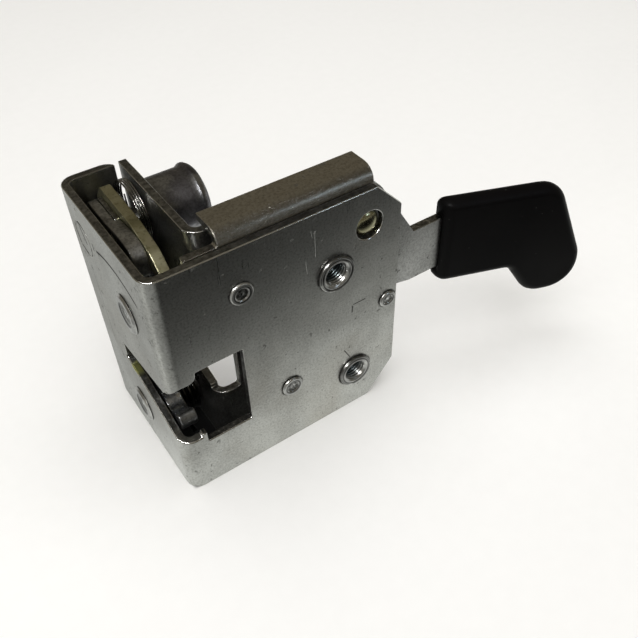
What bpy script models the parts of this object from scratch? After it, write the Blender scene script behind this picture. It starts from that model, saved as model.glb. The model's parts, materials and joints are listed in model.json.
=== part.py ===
"""Vehicle door lock: a rotary latch in a folded steel case, with its inside release lever.

The case corner where the striker face, the side plate and the bottom meet is the corner frame:
X runs back from the striker face, Y runs in from the side plate, Z runs up. The frame's parent
empty moves it so that the model's origin lies on the side plate, midway between the two
threaded inserts that bolt the lock to the door.
"""
import math

import bmesh
import bpy
from mathutils import Matrix, Vector

MM = 0.001

# General fits
SEAT = 0.2 * MM            # gap between a piece and what it sits on
FIT = 0.25 * MM            # radial gap between a hole and what passes through it
RUN = 0.3 * MM             # gap beside a moving plate

# Outer plate: one sheet folded round the striker face, the side and the far wall
SHEET = 2.5 * MM
CASE_HEIGHT = 86.0 * MM
SIDE_LENGTH = 79.1 * MM
PAWL_BACK = 8.8 * MM        # the pawl stack's reach from its axis to the far wall
PAWL_BACK_GAP = 1.2 * MM
BEND_OUTER = 4.5 * MM
WALL_DEPTH = 17.2 * MM      # from the striker face to the back of the far wall's return lip
LIP_LENGTH = 8.0 * MM
UPPER_CHAMFER = (8.8 * MM, 9.0 * MM)
LOWER_CHAMFER = (10.1 * MM, 12.5 * MM)

# Striker slot: a funnel in the striker face that opens into the side plate
SLOT_END = 35.0 * MM
SLOT_END_LOW = 32.2 * MM
SLOT_END_HIGH = 38.7 * MM
SLOT_MOUTH_LOW = 23.8 * MM
SLOT_MOUTH_HIGH = 43.6 * MM
MOUTH_LOW = 24.0 * MM
MOUTH_HIGH = 47.0 * MM
WINDOW_START = 8.5 * MM
WINDOW_END = 23.7 * MM
WINDOW_LOW = 20.0 * MM
WINDOW_HIGH = 50.5 * MM

# Rear bracket: rear wall and back plate, folded from one sheet
REAR_GAP = 0.3 * MM
BACK_PLATE_Y = 9.5 * MM
BRACKET_RISE = 1.2 * MM      # above the case
BRACKET_BASE = 1.0 * MM
BRACKET_INSET = 1.1 * MM     # its far end, in from the side plate's
REAR_WALL_GAP = 0.7 * MM     # to the far wall's inner face
BRACKET_WINDOW_LENGTH = 25.6 * MM
BRACKET_WINDOW_LOW = 25.0 * MM
BRACKET_WINDOW_HIGH = 48.0 * MM

# Top channel: a sheet behind the side plate whose top is folded over as a flange
FLANGE_START = 22.0 * MM
CHANNEL_START = 12.6 * MM    # its wall runs on past the flange, level with the case
CHANNEL_INSET = 8.1 * MM
FLANGE_GAP = 0.8 * MM        # above the rear bracket
CHANNEL_DROP = 32.5 * MM     # from the case's top down to the wall's foot
FLANGE_REACH = 13.3 * MM

# Spring cup behind the rear wall
CUP_OFFSET = (0.6 * MM, 0.3 * MM)     # from the pawl axis
CUP_RADIUS = 9.5 * MM
CUP_LENGTH = 16.35 * MM
CUP_WALL = 1.6 * MM
CUP_BEAD = 0.75 * MM
CUP_BEAD_BACK = 2.2 * MM     # from the open end to the bead's crest
CUP_HOLE = 4.9 * MM

# Axes across the case, as (Y, Z)
PAWL_AXIS = (43.9 * MM, CASE_HEIGHT - 13.0 * MM)
CLAW_AXIS = (29.75 * MM, 14.4 * MM)
STOP_AXIS = (18.7 * MM, CASE_HEIGHT - 22.7 * MM)
# Axes through the side plate, as (X, Z)
UPPER_INSERT = (SIDE_LENGTH - 23.3 * MM, CASE_HEIGHT - 23.6 * MM)
LOWER_INSERT = (SIDE_LENGTH - 16.2 * MM, 16.7 * MM)
LEVER_AXIS = (SIDE_LENGTH - 11.3 * MM, CASE_HEIGHT - 11.9 * MM)
LEVER_STOP = (SIDE_LENGTH - 3.8 * MM, 42.2 * MM)
UPPER_RIVET = (25.4 * MM, CASE_HEIGHT - 15.0 * MM)
LOWER_RIVET = (38.6 * MM, 25.1 * MM)

# Pins, bushes and rivets
AXLE_RADIUS = 4.0 * MM
AXLE_HEAD_RADIUS = 5.1 * MM
AXLE_TAIL_RADIUS = 6.2 * MM
SPACER_RADIUS = 5.0 * MM
SHANK_RADIUS = 3.4 * MM
RING_RADIUS = 6.15 * MM
RING_HEIGHT = 0.7 * MM
TAIL_RADIUS = 5.4 * MM
TAIL_HEIGHT = 1.2 * MM
INSERT_RADIUS = 6.1 * MM
INSERT_BARREL = 5.2 * MM
INSERT_BORE = 3.4 * MM
INSERT_HEIGHT = 0.9 * MM
RIVET_RADIUS = 3.6 * MM
RIVET_SHANK = 2.2 * MM
RIVET_HEIGHT = 0.7 * MM
RIVET_DISH = 0.45 * MM       # depth of the dished centre of a rivet's head
STOP_HEAD_RADIUS = 3.0 * MM
STOP_SHANK = 1.8 * MM
DOME_RADIUS = 4.2 * MM
DOME_HOLE = 4.7 * MM
PIVOT_SHANK = 3.0 * MM

# Claw and its spring
CLAW_START = 3.2 * MM
CLAW_THICKNESS = 5.4 * MM
CLAW_OPEN = math.radians(50)
STRIKER_WIDTH = 7.3 * MM
CLAW_HEEL = 14.0 * MM
CLAW_REACH = 28.0 * MM
CLAW_BUSH_RADIUS = 6.6 * MM
CLAW_WIRE = 0.7 * MM
CLAW_COIL = 8.4 * MM
CLAW_TURNS = 3.5

# Pawl stack: thick pawl, thin plate and release arm turn together on the pawl axle
PAWL_START = 4.4 * MM
PAWL_THICKNESS = 4.3 * MM
PLATE_THICKNESS = 1.3 * MM
ARM_THICKNESS = 3.2 * MM
NOSE_REACH = 27.0 * MM       # from the pawl axis to the pawl's nose
NOSE_TOP = 10.3 * MM         # above the pawl axis
STUB_TOP = 9.2 * MM
STUB_END = 9.8 * MM          # from the pawl axis to the step where the nose begins
ARM_REACH = 39.3 * MM        # from the pawl axis to the arm's tip under the lever
ARM_TAIL_Z = 21.8 * MM
TAIL_TIP_Z = 24.2 * MM
TAIL_WIDTH = 4.0 * MM
BUSH_RADIUS = 6.2 * MM
ARM_RIVET = (-13.2 * MM, 5.4 * MM)
PAWL_WIRE = 0.3 * MM
PAWL_COIL = 9.5 * MM
PAWL_TURNS = 4.5
COIL_OFFSET = (-0.6 * MM, 3.3 * MM)   # the coil rests on the axle, so it sits above the axis
COIL_ROOM = 0.3 * MM
WASHER_RADIUS = 9.6 * MM
WASHER_THICKNESS = 0.9 * MM

# Release lever and grip
LEVER_Y = 5.8 * MM
LEVER_THICKNESS = 3.0 * MM
LEVER_TOP = 58.4 * MM
LEVER_LOW = 38.3 * MM
BAR_RISE = 6.5 * MM          # lever's long bar: above and below the pivot
BAR_DROP = 3.1 * MM
LEG_FRONT = 4.9 * MM         # lever's leg: before and behind the pivot
LEG_BACK = 13.2 * MM
GRIP_DISTANCE = 22.4 * MM    # from the side plate's end to the grip
GRIP_FRONT = 3.3 * MM
GRIP_THICKNESS = 7.2 * MM
GRIP_LENGTH = 54.0 * MM
GRIP_TOP = 64.5 * MM
GRIP_LOW = 32.0 * MM
GRIP_TAPER = 0.8 * MM       # the bar is a little higher at the lever than at its end
GRIP_YAW = math.radians(20)
GRIP_HOLD = 6.0 * MM        # how far the lever reaches into the grip
GRIP_EDGE = 3.0 * MM
LOBE_DROP = 13.6 * MM

ROUND = 32                 # faces round a large turned piece
SMALL_ROUND = 28           # faces round a small one

CASE_WIDTH = PAWL_AXIS[0] + PAWL_BACK + PAWL_BACK_GAP + SHEET
REAR_WALL_WIDTH = CASE_WIDTH - SHEET - REAR_WALL_GAP
BRACKET_HEIGHT = CASE_HEIGHT + BRACKET_RISE
BRACKET_LENGTH = SIDE_LENGTH - BRACKET_INSET
CHANNEL_TOP = BRACKET_HEIGHT + FLANGE_GAP + SHEET
CHANNEL_END = SIDE_LENGTH - CHANNEL_INSET
CUP_AXIS = (PAWL_AXIS[0] + CUP_OFFSET[0], PAWL_AXIS[1] + CUP_OFFSET[1])
COIL_AXIS = (PAWL_AXIS[0] + COIL_OFFSET[0], PAWL_AXIS[1] + COIL_OFFSET[1])
GRIP_START = SIDE_LENGTH + GRIP_DISTANCE
REAR_WALL_X = WALL_DEPTH + REAR_GAP
BACK_FAR_Y = BACK_PLATE_Y + SHEET
ARM_START = PAWL_START + PAWL_THICKNESS + SEAT
PLATE_START = PAWL_START + PAWL_THICKNESS - PLATE_THICKNESS
ARM_END = ARM_START + ARM_THICKNESS

COLOURS = {
    "zinc": ((0.50, 0.51, 0.49), 0.34, 1.0),
    "bright_zinc": ((0.68, 0.68, 0.66), 0.22, 1.0),
    "yellow_zinc": ((0.55, 0.50, 0.30), 0.34, 1.0),
    "steel": ((0.33, 0.33, 0.33), 0.38, 1.0),
    "spring": ((0.45, 0.44, 0.42), 0.25, 1.0),
    "plastic": ((0.012, 0.011, 0.012), 0.42, 0.0),
}


def clear_scene():
    """Empty the file so that the script gives the same result each run."""
    for old in list(bpy.data.objects):
        bpy.data.objects.remove(old, do_unlink=True)
    for group in list(bpy.data.collections):
        bpy.data.collections.remove(group)


def add_collection(name):
    group = bpy.data.collections.new(name)
    bpy.context.scene.collection.children.link(group)
    return group


def add_material(object_name, finish):
    colour, roughness, metallic = COLOURS[finish]
    material = bpy.data.materials.new(object_name + "_" + finish)
    material.use_nodes = True
    shader = material.node_tree.nodes["Principled BSDF"]
    shader.inputs["Base Color"].default_value = (*colour, 1.0)
    shader.inputs["Roughness"].default_value = roughness
    shader.inputs["Metallic"].default_value = metallic
    return material


def add_empty(name, location, parent=None, rotation=(0.0, 0.0, 0.0)):
    empty = bpy.data.objects.new(name, None)
    empty.empty_display_size = 0.01
    empty.parent = parent
    empty.location = location
    empty.rotation_euler = rotation
    PARTS.objects.link(empty)
    return empty


def rounded(corners, segments=5):
    """Points of a closed outline; each corner is (u, v) or (u, v, fillet radius)."""
    points = []
    count = len(corners)
    for index, corner in enumerate(corners):
        here = Vector(corner[:2])
        radius = corner[2] if len(corner) > 2 else 0.0
        to_last = (Vector(corners[index - 1][:2]) - here).normalized()
        to_next = (Vector(corners[(index + 1) % count][:2]) - here).normalized()
        if radius <= 0.0 or abs(to_last.dot(to_next)) > 0.9995:
            points.append(here)
            continue
        half = math.acos(max(-1.0, min(1.0, to_last.dot(to_next)))) / 2
        run = radius / math.tan(half)
        centre = here + (to_last + to_next).normalized() * (radius / math.sin(half))
        first = here + to_last * run - centre
        last = here + to_next * run - centre
        sweep = first.angle_signed(last)
        for step in range(segments + 1):
            turn = Matrix.Rotation(-sweep * step / segments, 2)
            points.append(centre + turn @ first)
    return points


def offset_path(path, distance):
    """A polyline moved sideways by a distance, with mitred corners."""
    moved = []
    for index, point in enumerate(path):
        here = Vector(point)
        normals = []
        for a, b in ((index - 1, index), (index, index + 1)):
            if a >= 0 and b < len(path):
                run = (Vector(path[b]) - Vector(path[a])).normalized()
                normals.append(Vector((-run.y, run.x)))
        normal = (normals[0] + normals[-1]).normalized()
        moved.append(here + normal * (distance / normal.dot(normals[0])))
    return moved


def sheet_outline(path, thickness, bend_outer):
    """Section of a folded sheet whose outer face follows the path, its metal to the left."""
    corners = []
    for side, radius in ((0.0, bend_outer), (thickness, bend_outer - thickness)):
        line = offset_path(path, side)
        row = [(*point, radius) for point in line]
        row[0] = (*line[0], 0.0)
        row[-1] = (*line[-1], 0.0)
        corners += row if side == 0.0 else row[::-1]
    return rounded(corners)


def clean_mesh(mesh):
    body = bmesh.new()
    body.from_mesh(mesh)
    bmesh.ops.remove_doubles(body, verts=body.verts, dist=1e-6)
    bmesh.ops.recalc_face_normals(body, faces=body.faces)
    body.to_mesh(mesh)
    body.free()
    return mesh


def mesh_of(source):
    """The evaluated mesh of a temporary object, which is then removed."""
    graph = bpy.context.evaluated_depsgraph_get()
    mesh = bpy.data.meshes.new_from_object(source.evaluated_get(graph))
    bpy.data.objects.remove(source, do_unlink=True)
    return clean_mesh(mesh)


def prism_mesh(outline, thickness):
    """A flat outline given a thickness, centred on its plane."""
    curve = bpy.data.curves.new("outline", "CURVE")
    curve.dimensions = "2D"
    curve.fill_mode = "BOTH"
    curve.extrude = thickness / 2
    spline = curve.splines.new("POLY")
    spline.points.add(len(outline) - 1)
    for point, place in zip(spline.points, outline):
        point.co = (place[0], place[1], 0.0, 1.0)
    spline.use_cyclic_u = True
    source = bpy.data.objects.new("outline", curve)
    bpy.context.scene.collection.objects.link(source)
    return mesh_of(source)


# An outline's own axes go to (Y, Z), (X, Z) or (X, Y), and its thickness to the third axis
TURNS = {
    "X": Matrix(((0, 0, 1), (1, 0, 0), (0, 1, 0))).to_euler(),
    "Y": Matrix(((1, 0, 0), (0, 0, -1), (0, 1, 0))).to_euler(),
    "Z": Matrix.Identity(3).to_euler(),
}


def link(name, mesh, parent, finish=None, location=(0, 0, 0), rotation=(0, 0, 0)):
    """A part where a finish is given, or else a cutter."""
    item = bpy.data.objects.new(name, mesh)
    item.parent = parent
    item.location = location
    item.rotation_euler = rotation
    if finish is None:
        CUTTERS.objects.link(item)
        item.hide_render = True
        item.display_type = "WIRE"
    else:
        PARTS.objects.link(item)
        mesh.materials.clear()
        mesh.materials.append(add_material(name, finish))
    return item


def plate(name, outline, axis, start, end, parent, finish=None):
    """A flat plate between two positions along an axis."""
    location = [0.0, 0.0, 0.0]
    location["XYZ".index(axis)] = (start + end) / 2
    mesh = prism_mesh(outline, end - start)
    return link(name, mesh, parent, finish, location, TURNS[axis])


def cut(target, cutter):
    modifier = target.modifiers.new("cut_" + cutter.name, "BOOLEAN")
    modifier.operation = "DIFFERENCE"
    modifier.solver = "EXACT"
    modifier.object = cutter


def disc(centre, radius, count=SMALL_ROUND):
    """A circle as an outline."""
    turn = 2 * math.pi / count
    return [(centre[0] + radius * math.cos(turn * i), centre[1] + radius * math.sin(turn * i))
            for i in range(count)]


def hole(target, name, axis, centre, radius, start, end, parent):
    cutter = plate(name, disc(centre, radius), axis, start, end, parent)
    cut(target, cutter)


def turned(name, profile, axis, centre, parent, finish, count=ROUND):
    """A turned piece; its profile is (radius, position along the axis), last position first."""
    mesh = bpy.data.meshes.new(name)
    rows = [(radius, 0.0, place) for radius, place in profile]
    edges = [(i, i + 1) for i in range(len(rows) - 1)]
    if profile[0][0] > 0.0:
        edges.append((len(rows) - 1, 0))
    mesh.from_pydata(rows, edges, [])
    source = bpy.data.objects.new(name, mesh)
    bpy.context.scene.collection.objects.link(source)
    screw = source.modifiers.new("turn", "SCREW")
    screw.steps = count
    screw.render_steps = count
    screw.use_merge_vertices = True
    screw.merge_threshold = 1e-5
    solid = mesh_of(source)
    solid.shade_smooth()
    solid.set_sharp_from_angle(angle=math.radians(35))
    if axis == "X":
        return link(name, solid, parent, finish, (0.0, *centre), (0.0, math.pi / 2, 0.0))
    location = (centre[0], 0.0, centre[1])
    return link(name, solid, parent, finish, location, (-math.pi / 2, 0.0, 0.0))


def rod(steps):
    """Profile of a stepped pin from (start, end, radius) pieces in order along its axis."""
    profile = [(0.0, steps[-1][1])]
    for start, end, radius in reversed(steps):
        profile += [(radius, end), (radius, start)]
    profile.append((0.0, steps[0][0]))
    return profile


def tube(start, end, inner, outer):
    return [(outer, end), (outer, start), (inner, start), (inner, end)]


def wire(name, points, radius, parent, finish, location=(0, 0, 0)):
    """A round wire along points, in its parent's frame."""
    curve = bpy.data.curves.new(name, "CURVE")
    curve.dimensions = "3D"
    curve.bevel_depth = radius
    curve.bevel_resolution = 2
    curve.use_fill_caps = True
    spline = curve.splines.new("POLY")
    spline.points.add(len(points) - 1)
    for point, place in zip(spline.points, points):
        point.co = (*place, 1.0)
    source = bpy.data.objects.new(name, curve)
    bpy.context.scene.collection.objects.link(source)
    mesh = mesh_of(source)
    mesh.shade_smooth()
    mesh.set_sharp_from_angle(angle=math.radians(50))
    return link(name, mesh, parent, finish, location)


def coil_points(start, end, radius, turns, first_angle, per_turn=16):
    """Points of a helix round X."""
    count = round(turns * per_turn)
    points = []
    for i in range(count + 1):
        share = i / count
        angle = first_angle + share * turns * 2 * math.pi
        place = start + (end - start) * share
        points.append((place, radius * math.cos(angle), radius * math.sin(angle)))
    return points


def slot_outline(reach):
    """The striker funnel as (Y, Z), from beyond the side plate to the slot's inner end."""
    low_slope = (SLOT_END_LOW - SLOT_MOUTH_LOW) / (SLOT_END - BEND_OUTER)
    high_slope = (SLOT_END_HIGH - SLOT_MOUTH_HIGH) / (SLOT_END - BEND_OUTER)
    run = reach - BEND_OUTER
    return rounded([
        (reach, SLOT_MOUTH_LOW + low_slope * run),
        (SLOT_END, SLOT_END_LOW, 1.2 * MM),
        (SLOT_END, SLOT_END_HIGH, 1.2 * MM),
        (reach, SLOT_MOUTH_HIGH + high_slope * run)])


def make_outer_plate():
    path = [
        (WALL_DEPTH, CASE_WIDTH - LIP_LENGTH),
        (WALL_DEPTH, CASE_WIDTH),
        (0.0, CASE_WIDTH),
        (0.0, 0.0),
        (SIDE_LENGTH, 0.0)]
    section = sheet_outline(path, SHEET, BEND_OUTER)
    item = plate("outer_plate", section, "Z", 0.0, CASE_HEIGHT, HOUSING, "zinc")
    far_side = WALL_DEPTH + MM
    over = SHEET + BEND_OUTER
    funnel = plate("cut_funnel", slot_outline(-MM), "X", -over, over, HOUSING)
    cut(item, funnel)
    mouth = rounded([
        (-MM, MOUTH_LOW), (WINDOW_START, MOUTH_LOW), (WINDOW_START, WINDOW_LOW, 0.6 * MM),
        (WINDOW_END, WINDOW_LOW, 0.6 * MM), (WINDOW_END, WINDOW_HIGH, 0.6 * MM),
        (WINDOW_START, WINDOW_HIGH, 0.5 * MM), (WINDOW_START, MOUTH_HIGH, 2.4 * MM),
        (3.4 * MM, MOUTH_HIGH, 2 * MM), (-MM, SLOT_MOUTH_HIGH)])
    window = plate("cut_window", mouth, "Y", -over, BEND_OUTER, HOUSING)
    cut(item, window)
    for name, (run, rise), level, side in (
            ("cut_upper_corner", UPPER_CHAMFER, CASE_HEIGHT, -1),
            ("cut_lower_corner", LOWER_CHAMFER, 0.0, 1)):
        wedge = [
            (SIDE_LENGTH - run, level), (SIDE_LENGTH, level + side * rise),
            (SIDE_LENGTH + run, level + side * rise), (SIDE_LENGTH + run, level - side * rise),
            (SIDE_LENGTH - run, level - side * rise)]
        cut(item, plate(name, wedge, "Y", -over, over, HOUSING))
    inner_wall = CASE_WIDTH - SHEET
    room_low = COIL_AXIS[1] - PAWL_COIL - PAWL_WIRE - 2 * RUN
    room = [
        (inner_wall - LIP_LENGTH, room_low), (inner_wall, room_low),
        (inner_wall, CASE_HEIGHT + MM), (inner_wall - LIP_LENGTH, CASE_HEIGHT + MM)]
    start = WALL_DEPTH - BEND_OUTER - 0.2 * MM
    cut(item, plate("cut_spring_room", room, "X", start, far_side, HOUSING))
    for name, centre, radius in (
            ("cut_pawl_axle", PAWL_AXIS, AXLE_HEAD_RADIUS + FIT),
            ("cut_claw_axle", CLAW_AXIS, SHANK_RADIUS + FIT),
            ("cut_stop_pin", STOP_AXIS, SHANK_RADIUS + FIT)):
        hole(item, name, "X", centre, radius, -over, over, HOUSING)
    for name, centre, radius in (
            ("cut_upper_insert", UPPER_INSERT, INSERT_BARREL + FIT),
            ("cut_lower_insert", LOWER_INSERT, INSERT_BARREL + FIT),
            ("cut_lever_pivot", LEVER_AXIS, DOME_HOLE),
            ("cut_lever_stop", LEVER_STOP, STOP_SHANK + FIT),
            ("cut_upper_rivet", UPPER_RIVET, RIVET_SHANK + FIT),
            ("cut_lower_rivet", LOWER_RIVET, RIVET_SHANK + FIT)):
        hole(item, name, "Y", centre, radius, -over, over, HOUSING)


def make_rear_bracket():
    """The metal lies behind the path's first run and beyond the back plate's near face."""
    path = [
        (REAR_WALL_X, REAR_WALL_WIDTH),
        (REAR_WALL_X, BACK_PLATE_Y),
        (BRACKET_LENGTH, BACK_PLATE_Y)]
    section = sheet_outline(path, SHEET, BEND_OUTER)
    item = plate("rear_bracket", section, "Z", BRACKET_BASE, BRACKET_HEIGHT, HOUSING, "zinc")
    far = REAR_WALL_X + SHEET + BEND_OUTER
    funnel = plate("cut_rear_funnel", slot_outline(MM), "X", REAR_WALL_X - MM, far, HOUSING)
    cut(item, funnel)
    opening = rounded([
        (REAR_WALL_X - MM, BRACKET_WINDOW_LOW), (BRACKET_WINDOW_LENGTH, BRACKET_WINDOW_LOW, MM),
        (BRACKET_WINDOW_LENGTH, BRACKET_WINDOW_HIGH, MM), (REAR_WALL_X - MM, BRACKET_WINDOW_HIGH)])
    window = plate("cut_rear_window", opening, "Y", BACK_PLATE_Y - MM, BACK_FAR_Y + 2 * MM, HOUSING)
    cut(item, window)
    over = 3 * MM
    for name, (run, rise), level, side in (
            ("cut_back_upper_corner", UPPER_CHAMFER, BRACKET_HEIGHT, -1),
            ("cut_back_lower_corner", LOWER_CHAMFER, BRACKET_BASE, 1)):
        wedge = [
            (BRACKET_LENGTH - run, level), (BRACKET_LENGTH, level + side * rise),
            (BRACKET_LENGTH + run, level + side * rise),
            (BRACKET_LENGTH + run, level - side * rise),
            (BRACKET_LENGTH - run, level - side * rise)]
        cutter = plate(name, wedge, "Y", BACK_PLATE_Y - over, BACK_FAR_Y + over, HOUSING)
        cut(item, cutter)
    for name, centre, radius in (
            ("cut_rear_pawl_axle", PAWL_AXIS, AXLE_RADIUS + FIT),
            ("cut_rear_claw_axle", CLAW_AXIS, SHANK_RADIUS + FIT),
            ("cut_rear_stop_pin", STOP_AXIS, SHANK_RADIUS + FIT)):
        hole(item, name, "X", centre, radius, REAR_WALL_X - over, far, HOUSING)
    for name, centre, radius in (
            ("cut_back_pivot", LEVER_AXIS, PIVOT_SHANK + FIT),
            ("cut_back_stop", LEVER_STOP, STOP_SHANK + FIT),
            ("cut_back_rivet", LOWER_RIVET, RIVET_SHANK + FIT)):
        start = BACK_PLATE_Y - over
        hole(item, name, "Y", centre, radius, start, BACK_FAR_Y + over, HOUSING)


def make_top_channel():
    near = SHEET + REAR_GAP
    foot = CASE_HEIGHT - CHANNEL_DROP
    path = [(FLANGE_REACH, CHANNEL_TOP), (near, CHANNEL_TOP), (near, foot)]
    section = sheet_outline(path, SHEET, BEND_OUTER)
    item = plate("top_channel", section, "X", CHANNEL_START, CHANNEL_END, HOUSING, "zinc")
    relief = rounded([
        (CHANNEL_START - MM, CASE_HEIGHT), (FLANGE_START, CASE_HEIGHT, 0.8 * MM),
        (FLANGE_START, CHANNEL_TOP + MM), (CHANNEL_START - MM, CHANNEL_TOP + MM)])
    cut(item, plate("cut_channel_front", relief, "Y", 0.0, FLANGE_REACH + MM, HOUSING))
    over = SHEET + 2 * MM
    for name, centre, radius in (
            ("cut_channel_insert", UPPER_INSERT, INSERT_BARREL + FIT),
            ("cut_channel_pivot", LEVER_AXIS, PIVOT_SHANK + FIT),
            ("cut_channel_rivet", UPPER_RIVET, RIVET_SHANK + FIT)):
        hole(item, name, "Y", centre, radius, near - 1.5 * MM, near + over, HOUSING)


def make_spring_cup():
    """A drawn cup; its floor lies on the rear wall and its rim flares at the open end."""
    base = REAR_WALL_X + SHEET + SEAT
    end = base + CUP_LENGTH
    inner = CUP_RADIUS - CUP_WALL
    crest = end - CUP_BEAD_BACK
    profile = [
        (inner, end), (CUP_RADIUS - 0.7 * MM, end), (CUP_RADIUS, end - 0.6 * MM),
        (CUP_RADIUS + CUP_BEAD, crest + 0.5 * MM), (CUP_RADIUS + CUP_BEAD, crest - 0.3 * MM),
        (CUP_RADIUS, crest - 1.5 * MM), (CUP_RADIUS, base + 0.8 * MM),
        (CUP_RADIUS - 0.8 * MM, base), (CUP_HOLE, base), (CUP_HOLE, base + CUP_WALL),
        (inner, base + CUP_WALL)]
    turned("spring_cup", profile, "X", CUP_AXIS, HOUSING, "zinc")


def make_pawl_axle():
    floor = REAR_WALL_X + SHEET + SEAT + CUP_WALL + SEAT
    profile = rod([
        (0.0, SHEET, AXLE_HEAD_RADIUS),
        (SHEET, floor, AXLE_RADIUS),
        (floor, floor + TAIL_HEIGHT, AXLE_TAIL_RADIUS)])
    turned("pawl_axle", profile, "X", PAWL_AXIS, HOUSING, "bright_zinc")


def ring_pin(name, centre, barrel, barrel_end):
    """A shouldered pin with a raised ring head on the striker face and a riveted tail."""
    tail = REAR_WALL_X + SHEET + SEAT
    recess = 0.45 * MM
    profile = [
        (0.0, tail + TAIL_HEIGHT), (TAIL_RADIUS - 0.6 * MM, tail + TAIL_HEIGHT),
        (TAIL_RADIUS, tail + TAIL_HEIGHT - 0.5 * MM), (TAIL_RADIUS, tail),
        (SHANK_RADIUS, tail), (SHANK_RADIUS, barrel_end), (barrel, barrel_end),
        (barrel, SHEET + SEAT), (SHANK_RADIUS, SHEET + SEAT), (SHANK_RADIUS, -SEAT),
        (RING_RADIUS, -SEAT), (RING_RADIUS - 0.7 * MM, -SEAT - RING_HEIGHT),
        (SHANK_RADIUS + 0.3 * MM, -SEAT - RING_HEIGHT),
        (SHANK_RADIUS - 0.5 * MM, -SEAT - RING_HEIGHT + recess),
        (0.0, -SEAT - RING_HEIGHT + recess)]
    turned(name, profile, "X", centre, HOUSING, "bright_zinc")


def make_claw_bush():
    start = CLAW_START + CLAW_THICKNESS + RUN
    profile = tube(start, REAR_WALL_X - SEAT, AXLE_RADIUS + FIT, CLAW_BUSH_RADIUS)
    turned("claw_bush", profile, "X", CLAW_AXIS, HOUSING, "steel")


def make_claw_spring():
    """The coil lies round the bush; one leg reaches the far wall, the other the rear wall."""
    start = CLAW_START + CLAW_THICKNESS + 1.6 * MM
    end = REAR_WALL_X - CLAW_WIRE - RUN
    points = coil_points(start, end, CLAW_COIL, CLAW_TURNS, math.radians(-90))
    first = points[0]
    leg = 13.0 * MM
    points = [(first[0], first[1] - leg, first[2])] + points
    last = points[-1]
    points.append((last[0], last[1] - leg * 0.6, last[2]))
    wire("claw_spring", points, CLAW_WIRE, HOUSING, "spring", (0.0, *CLAW_AXIS))


def make_claw():
    """Drawn latched, with the striker straight above the pivot; its parent turns it open."""
    half = STRIKER_WIDTH / 2
    floor = 17.2 * MM
    shoulder = 9.4 * MM
    corner = math.asin(shoulder / CLAW_HEEL)
    heel_end = math.radians(-28)
    corners = [
        (-9.6 * MM, -9.6 * MM, 9 * MM), (-9.6 * MM, 6.0 * MM, 9 * MM),
        (-8.6 * MM, CLAW_REACH - 2 * MM, 3.6 * MM), (-half, CLAW_REACH - 2 * MM, 1.0 * MM),
        (-half, floor, 3.4 * MM), (half, floor, 3.4 * MM),
        (half, CLAW_REACH, 1.4 * MM), (8.3 * MM, CLAW_REACH, 2.6 * MM),
        (7.2 * MM, shoulder + 0.4 * MM, 1.2 * MM)]
    for i in range(13):
        angle = corner + (heel_end - corner) * i / 12
        corners.append((CLAW_HEEL * math.cos(angle), CLAW_HEEL * math.sin(angle)))
    outline = rounded(corners + [(8.0 * MM, -9.6 * MM, 3 * MM)])
    end = CLAW_START + CLAW_THICKNESS
    item = plate("claw", outline, "X", CLAW_START, end, CLAW, "steel")
    hole(item, "cut_claw", "X", (0.0, 0.0), SPACER_RADIUS + RUN, 0.0, 2 * end, CLAW)


def make_pawl():
    """Nose towards the side plate, stub over the axle, tail down to the claw's heel."""
    heel_reach = math.sqrt(CLAW_HEEL ** 2 - (TAIL_TIP_Z - CLAW_AXIS[1]) ** 2)
    near = CLAW_AXIS[0] + heel_reach + RUN - PAWL_AXIS[0]
    low = TAIL_TIP_Z - PAWL_AXIS[1]
    outline = rounded([
        (3.2 * MM, STUB_TOP, 3 * MM), (-STUB_END, STUB_TOP), (-0.62 * NOSE_REACH, NOSE_TOP, 8 * MM),
        (-NOSE_REACH, NOSE_TOP, 5 * MM), (-NOSE_REACH, MM, 0.8 * MM),
        (-12.0 * MM, MM, 3 * MM), (-6.6 * MM, -8.0 * MM, 5 * MM),
        (near, low / 2, 20 * MM), (near, low, 0.5 * MM),
        (near + TAIL_WIDTH, low, 1.2 * MM), (near + TAIL_WIDTH + 1.2 * MM, low / 2, 20 * MM),
        (7.8 * MM, -7.0 * MM, 4 * MM), (PAWL_BACK, 3.0 * MM, 4 * MM)])
    end = PAWL_START + PAWL_THICKNESS
    item = plate("pawl", outline, "X", PAWL_START, end, PAWL, "steel")
    pocket = [
        (-STUB_END, -STUB_END), (2 * PAWL_BACK, -STUB_END),
        (2 * PAWL_BACK, 2 * STUB_TOP), (-STUB_END, 2 * STUB_TOP)]
    cut(item, plate("cut_pocket", pocket, "X", PLATE_START - SEAT, end + MM, PAWL))
    bore = BUSH_RADIUS + FIT
    hole(item, "cut_pawl", "X", (0.0, 0.0), bore, 0.0, 2 * end, PAWL)
    hole(item, "cut_pawl_rivet", "X", ARM_RIVET, RIVET_SHANK + FIT, 0.0, 2 * ARM_END, PAWL)

    inside = STUB_END - SEAT
    thin = rounded([
        (3.2 * MM, STUB_TOP, 3 * MM), (-inside, STUB_TOP, 0.4 * MM),
        (-inside, -7.0 * MM, 2 * MM), (-7.0 * MM, -inside, 2 * MM), (7.4 * MM, -inside, 4 * MM),
        (PAWL_BACK, 3.0 * MM, 4 * MM)])
    item = plate("pawl_plate", thin, "X", PLATE_START, end, PAWL, "zinc")
    hole(item, "cut_plate", "X", (0.0, 0.0), bore, 0.0, 2 * ARM_END, PAWL)


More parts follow.
